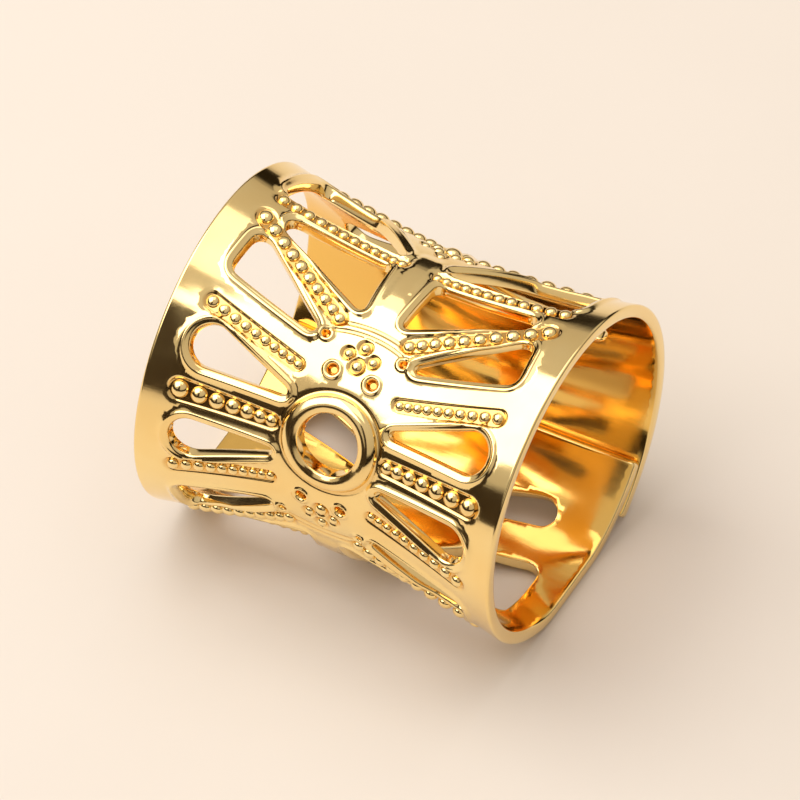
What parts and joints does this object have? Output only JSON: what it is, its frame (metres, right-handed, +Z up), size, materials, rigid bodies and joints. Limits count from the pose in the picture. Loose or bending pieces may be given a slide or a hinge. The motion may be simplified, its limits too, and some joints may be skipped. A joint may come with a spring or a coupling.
{
  "type": "hair cuff bead",
  "caption": "Openwork hair cuff bead, a thin gold coloured sheet with petal and leaf openings round a ring flower, rolled into a short waisted tube with an overlapped seam.",
  "frame": {"origin": "centre of the bottom of the bounding box, under the middle of the cuff", "axes": "+X along the cuff's axis, through the hollow, -Y the front with the ring flower, +Z up"},
  "size_m": [0.01, 0.0092, 0.0088],
  "materials": {
    "gold_plated_brass": "polished"
  },
  "bodies": {
    "root": {"cuff": "gold_plated_brass"}
  },
  "joints": []
}
